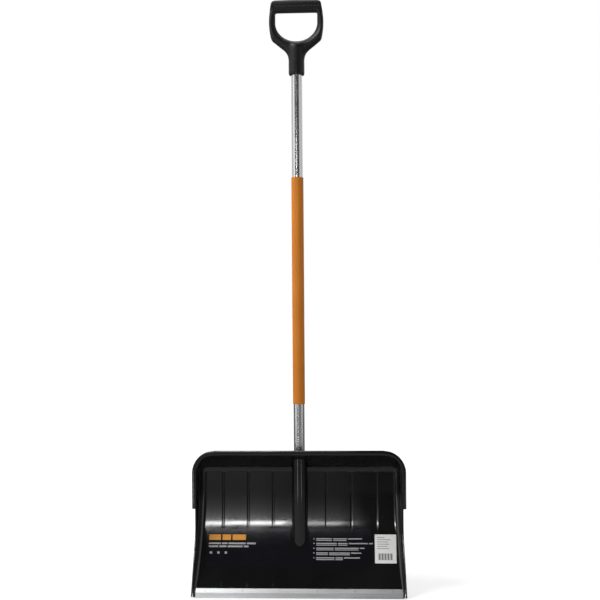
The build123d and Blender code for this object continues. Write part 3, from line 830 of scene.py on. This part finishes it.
# ---------------------------------------------------------------- labels on the pan
def sheet_on_pan(name, xs, zs, lift, thick, material, wrinkle=None, skip=None):
    """A thin closed sheet lying on the front of the pan, over the flutes."""
    grid_x, grid_z = np.meshgrid(xs, zs)
    bulge = panel_bulge(grid_x, grid_z)
    extra = wrinkle(grid_x, grid_z) if wrinkle else 0.0
    slope = np.cos(np.radians(lean_at(grid_z)))
    base = front_y(grid_z) - (bulge + lift) / slope
    top = base - (thick + extra) / slope
    count = grid_x.size
    points = np.concatenate([np.stack([grid_x, top, grid_z], -1).reshape(-1, 3),
                             np.stack([grid_x, base, grid_z], -1).reshape(-1, 3)])
    rows, cols = grid_x.shape
    solid = np.ones((rows - 1, cols - 1), bool)
    if skip:
        middle_x = (grid_x[1:, 1:] + grid_x[:-1, :-1]) / 2
        middle_z = (grid_z[1:, 1:] + grid_z[:-1, :-1]) / 2
        solid = ~skip(middle_x, middle_z)
    faces = []
    for j in range(rows - 1):
        for i in range(cols - 1):
            if not solid[j, i]:
                continue
            a = j * cols + i
            b, c, d = a + 1, a + cols + 1, a + cols
            faces.append((a, b, c, d))
            faces.append((a + count, d + count, c + count, b + count))
            for dj, di, p, q in ((-1, 0, a, b), (0, 1, b, c), (1, 0, c, d), (0, -1, d, a)):
                nj, ni = j + dj, i + di
                if nj < 0 or ni < 0 or nj >= rows - 1 or ni >= cols - 1 or not solid[nj, ni]:
                    faces.append((p, q, q + count, p + count))
    return mesh_object(name, points, faces, material, 60)


def crease(x, z, start, end, height, width):
    """A narrow ridge between two places (x, z)."""
    start, end = np.array(start), np.array(end)
    run = end - start
    share = np.clip(((x - start[0]) * run[0] + (z - start[1]) * run[1]) / (run @ run), 0, 1)
    away = np.hypot(x - start[0] - share * run[0], z - start[1] - share * run[1])
    return height * np.exp(-(away / width) ** 2)


def film_wrinkle(x, z):
    """Height of the film's three creases and its faint waves."""
    ridges = crease(x, z, (-66, 144), (-74, 102), height=0.4, width=1.6)
    ridges += crease(x, z, (-50, 138), (-30, 116), height=0.18, width=1.5)
    ridges += crease(x, z, (-20, 116), (-9, 100), height=0.4, width=1.4)
    ridges += 0.05 * np.sin(x / 7.0 + 2 * np.sin(z / 9.0)) * np.exp(-((x + 30) / 60) ** 2)
    return ridges


# ---------------------------------------------------------------- printed labels
FILM_LOW, FILM_HIGH = [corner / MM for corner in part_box("film_label")]
STICKER_LOW, STICKER_HIGH = [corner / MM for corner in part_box("sticker_label")]
LABEL_LIFT = 0.05          # between the pan and a label
FILM_THICK = 0.25
NOTCH_HALF = 24.0          # of the film's notch round the socket's nose
NOTCH_FOOT = 100.0
PRINT_THICK = 0.08
LABEL_CELL = 3.0           # the size of the labels' mesh cells


def steps(low, high, size=LABEL_CELL):
    """Evenly spaced places from one end to the other, about this far apart."""
    return np.linspace(low, high, max(2, int(round((high - low) / size)) + 1))


def make_film():
    xs = np.unique(np.concatenate([steps(FILM_LOW.x, -NOTCH_HALF), steps(-NOTCH_HALF, NOTCH_HALF),
                                   steps(NOTCH_HALF, FILM_HIGH.x)]))
    zs = np.unique(np.concatenate([steps(FILM_LOW.z, NOTCH_FOOT), steps(NOTCH_FOOT, FILM_HIGH.z)]))

    def notch(x, z):
        return (np.abs(x) < NOTCH_HALF) & (z > NOTCH_FOOT)

    return sheet_on_pan("film", xs, zs, LABEL_LIFT, FILM_THICK, MATERIALS["film"], film_wrinkle, notch)


def make_sticker():
    xs = steps(STICKER_LOW.x, STICKER_HIGH.x)
    zs = steps(STICKER_LOW.z, STICKER_HIGH.z)
    return sheet_on_pan("sticker", xs, zs, LABEL_LIFT, FILM_THICK, MATERIALS["sticker"])


def printed_bar(name, x, z, width, height, material):
    """A flat bar of ink, given by its left end and its middle height."""
    xs = steps(x, x + width)
    zs = steps(z - height / 2, z + height / 2, 2.0)
    return sheet_on_pan(name, xs, zs, LABEL_LIFT + FILM_THICK, PRINT_THICK, material, film_wrinkle)


def bar_line(name, x, z, widths, height, gap, material):
    """A line of bars that stands for a line of print."""
    made = []
    for number, width in enumerate(widths):
        made.append(printed_bar(f"{name}_{number}", x, z, width, height, material))
        x += width + gap
    return made


LABEL_MARGIN = 7
POINTS_INSET = 138         # from the film's right end back to where its list starts
POINTS = ((40, 34, 36), (52, 24, 48, 10), (44, 60, 12), (30, 52, 26), (46, 18, 40))
POINT_PITCH = 11
NOTE_SHARES = (0.45, 0.8, 0.66, 0.72, 0.6, 0.7)     # lengths of the sticker's lines
NOTE_PITCH = 5.2
NOTE_MARGIN = 6
BLOCKS = 5                 # upright bars at the sticker's foot
BLOCK_PITCH = 7.4


def make_print():
    """The labels' print as bars of ink: heading, lines and marks, a list, and the sticker's lines."""
    orange = paper("ink_orange", (0.70, 0.28, 0.02), (0.80, 0.34, 0.03), 0.45)
    white = paper("ink_white", (0.34, 0.34, 0.35), (0.42, 0.42, 0.42), 0.5)
    grey = paper("ink_grey", (0.20, 0.20, 0.21), (0.28, 0.28, 0.28), 0.5)
    made = []
    left = FILM_LOW.x + LABEL_MARGIN
    top = FILM_HIGH.z
    made += bar_line("heading", left, top - 21, (30, 22, 34), height=13, gap=4, material=orange)
    made += bar_line("line_a", left, top - 35.5, (30, 14, 44, 22), height=4.0, gap=3, material=white)
    made += bar_line("line_b", left, top - 42.5, (24, 18, 38, 12), height=4.0, gap=3, material=white)
    for number in range(3):
        made.append(printed_bar(f"mark_{number}", left + 3 + number * 19, top - 57, 6, 5, white))
    right = FILM_HIGH.x - POINTS_INSET
    for number, widths in enumerate(POINTS):
        z = top - 24 - number * POINT_PITCH
        made.append(printed_bar(f"bullet_{number}", right - 7, z, 2.5, 2.5, white))
        made += bar_line(f"point_{number}", right, z, widths, height=2.6, gap=3, material=white)
        z -= 3.9
        made += bar_line(f"more_{number}", right, z, widths[:2], height=2.0, gap=3, material=white)
    full = STICKER_HIGH.x - STICKER_LOW.x - 2 * NOTE_MARGIN
    for number, share in enumerate(NOTE_SHARES):
        x = STICKER_LOW.x + NOTE_MARGIN
        z = STICKER_HIGH.z - LABEL_MARGIN - number * NOTE_PITCH
        made.append(printed_bar(f"note_{number}", x, z, full * share, 1.4, grey))
    for number in range(BLOCKS):
        x = STICKER_LOW.x + 9 + number * BLOCK_PITCH
        made.append(printed_bar(f"block_{number}", x, STICKER_LOW.z + 15, 5.2, 15, grey))
    return made


def joined(name, pieces):
    """One object from several, keeping each one's material."""
    work = bmesh.new()
    mats = []
    for piece in pieces:
        start = len(work.faces)
        mat = piece.data.materials[0]
        if mat not in mats:
            mats.append(mat)
        work.from_mesh(piece.data)
        work.faces.ensure_lookup_table()
        for face in work.faces[start:]:
            face.material_index = mats.index(mat)
    mesh = bpy.data.meshes.new(name)
    work.to_mesh(mesh)
    work.free()
    for mat in mats:
        mesh.materials.append(mat)
    for piece in pieces:
        bpy.data.objects.remove(piece)
    obj = bpy.data.objects.new(name, mesh)
    scene.collection.objects.link(obj)
    return obj


# ---------------------------------------------------------------- handle
OPENING_HALF = 54.4
OPENING_MIDDLE = 1445.0
OPENING_DROP = 48.5
VOXEL = 1.15
NECK_FOOT = (1334, 1352)   # heights between which the smoothing of the neck sets in
NECK_TOP = (1404, 1429)    # and those between which it ends
NECK_SIDE = (30, 52)       # and its half-widths
GRIP_FOOT = (1456, 1470)   # heights between which the smoothing of the grip sets in
LEAST_FIRM = 0.35          # share of the smoothing that the arms and the grip's ends get
PASSES = 46
EVEN_PASSES = 14           # the first passes, which push back most of what they take off
PUSH_BACK = 0.96
SWELL = 0.75               # gives back what the smoothing takes off
PLAIN_RADIUS = 17          # the swelling leaves what is nearer the shaft's axis, the bore
TUBE_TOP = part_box("shaft_tube")[1].z / MM
BEVEL_WIDTH = 13.0         # how far the arms' rounding toward the hand opening reaches
BEVEL_LOW = 0.55           # what the rounding takes off in depth low down, on top of the next
BEVEL_HIGH = 0.25
BEVEL_FOOT = (1344, 1374)  # heights between which the rounding sets in
BEVEL_TOP = (1459, 1470)   # and those between which it ends


def make_handle():
    """The CAD handle, remeshed and smoothed where its bars and neck run together."""
    source = frame["nodes"]["d_handle"]
    handle = bpy.data.objects.new("handle", source.data.copy())
    scene.collection.objects.link(handle)
    remesh = handle.modifiers.new("remesh", "REMESH")
    remesh.mode = "VOXEL"
    remesh.voxel_size = VOXEL * MM
    graph = bpy.context.evaluated_depsgraph_get()
    mesh = bpy.data.meshes.new_from_object(handle.evaluated_get(graph))
    handle.modifiers.clear()
    old = handle.data
    handle.data = mesh
    bpy.data.meshes.remove(old)
    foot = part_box("d_handle")[0].z / MM
    count = len(mesh.vertices)
    place = np.empty(count * 3)
    mesh.vertices.foreach_get("co", place)
    place = place.reshape(-1, 3)
    ends = np.empty(len(mesh.edges) * 2, int)
    mesh.edges.foreach_get("vertices", ends)
    ends = ends.reshape(-1, 2)
    degree = np.bincount(ends.ravel(), minlength=count)[:, None]
    z = place[:, 2] / MM
    x = place[:, 0] / MM
    neck = smooth_step(z, *NECK_FOOT) * (1 - smooth_step(z, *NECK_TOP))
    neck = neck * (1 - smooth_step(np.abs(x), *NECK_SIDE))
    grip = smooth_step(z, *GRIP_FOOT)
    firm = LEAST_FIRM + (1 - LEAST_FIRM) * np.maximum(neck, 0.6 * grip)
    firm = firm * smooth_step(z, foot + 3, foot + 14)

    def smoothed(points, weight):
        total = np.zeros_like(points)
        np.add.at(total, ends[:, 0], points[ends[:, 1]])
        np.add.at(total, ends[:, 1], points[ends[:, 0]])
        return points + (total / degree - points) * weight[:, None]

    for step in range(PASSES):
        even = step < EVEN_PASSES
        weight = 0.5 * (firm if even else np.maximum(neck, 0.25 * grip))
        place = smoothed(place, weight)
        if even:
            place = smoothed(place, -PUSH_BACK * weight)
    x, y, z = (place / MM).T
    flat = np.abs(x) - OPENING_HALF
    oval = np.hypot(x / OPENING_HALF, (z - OPENING_MIDDLE) / OPENING_DROP)
    away = np.where(z > OPENING_MIDDLE, flat, (oval - 1) * OPENING_DROP)
    share = np.clip(away / BEVEL_WIDTH, 0, 1)
    reach = BEVEL_LOW * smooth_step(OPENING_MIDDLE + 18 - z, 0, 40) + BEVEL_HIGH
    keep = 1 - reach * (1 - share) ** 2 * (1 - smooth_step(z, *BEVEL_TOP))
    keep = 1 - (1 - keep) * smooth_step(z, *BEVEL_FOOT)
    y = SHAFT + (y - SHAFT) * keep
    place = np.stack([x, y, z], -1) * MM
    mesh.vertices.foreach_set("co", place.ravel())
    mesh.update()
    outward = np.empty(count * 3)
    mesh.vertices.foreach_get("normal", outward)
    outer = (np.hypot(x, y - SHAFT) > PLAIN_RADIUS) | (z > TUBE_TOP + 4)
    swell = SWELL * MM * outer * smooth_step(z, foot, foot + 6)
    place = place + outward.reshape(-1, 3) * swell[:, None]
    mesh.vertices.foreach_set("co", place.ravel())
    mesh.update()
    mesh.polygons.foreach_set("use_smooth", [True] * len(mesh.polygons))
    mesh.materials.clear()
    mesh.materials.append(MATERIALS["handle_plastic"])
    return handle


# ---------------------------------------------------------------- pieces
shell = make_blade_shell()
socket = make_socket()
spine = make_spine()
blade = joined("blade", [shell, socket, spine])
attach(blade, "root")
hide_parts("scoop_blade")

film = make_film()
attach(film, "root")
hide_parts("film_label")

sticker = make_sticker()
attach(sticker, "root")
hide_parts("sticker_label")

ink = joined("ink", make_print())
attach(ink, "root")

handle = make_handle()
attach(handle, "root")
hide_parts("d_handle")


# ---------------------------------------------------------------- studio
MIDDLE = (0, SHAFT_Y, 0.7)  # of the whole object
KEY_AIM = (0, 0, 0.17)     # the middle of the blade
GLOWS = (0.25, 0.32, 0.42, 0.54, 0.7, 0.95, 1.4, 2.0)    # of a wall of light, from its foot up
GLOW_STEP = 0.12
GLOW_WALLS = (("left", -0.8, 1.0, 1.0), ("right", -0.09, 0.42, 0.55))    # (side, x, width, share)
LAMPS_Y = -2.9
RIDGE_FOOT = Vector((0, 0.065, 0.02))
RIDGE_DISTANCE = 1.9


def make_lights():
    """Strip lights low in front of the blade, a wall of light that fades downward, and side panels."""
    soft_box("key_left", (-0.62, -2.86, 1.09), KEY_AIM, 0.76, 0.08, 46)
    soft_box("key_right", (-0.06, LAMPS_Y, 1.09), KEY_AIM, 0.3, 0.09, 14)
    for step, radiance in enumerate(GLOWS):
        height = 0.08 + GLOW_STEP * step
        for side, x, width, share in GLOW_WALLS:
            soft_box(f"glow_{side}_{step}", (x, LAMPS_Y, height), (x, 0, height), width, GLOW_STEP,
                     share * radiance)
    for name, azimuth, radiance in (("ridge_left", -25, 9.0), ("ridge_right", 29, 6.0)):
        away = Vector((sin(radians(azimuth)), -cos(radians(azimuth)), 0))
        place = RIDGE_FOOT + RIDGE_DISTANCE * away
        lamp = soft_box(name, place, place + Vector((0, 0, 1)), 0.07, 1.4, radiance)
        lamp.rotation_euler = (radians(180), 0, radians(azimuth))
    soft_box("overhead", (-1.42, -1.0, 3.1), (0, 0, 0), 1.0, 0.8, 24)
    soft_box("left_panel", (-2.8, -1.2, 1.0), MIDDLE, 2.0, 2.8, 1.45)
    soft_box("right_panel", (2.8, -1.1, 1.0), MIDDLE, 2.0, 2.8, 0.85)
    soft_box("top_panel", (0, 0.6, 3.4), MIDDLE, 3.0, 1.6, 1.2)


make_camera()
make_world()
make_floor()
make_lights()
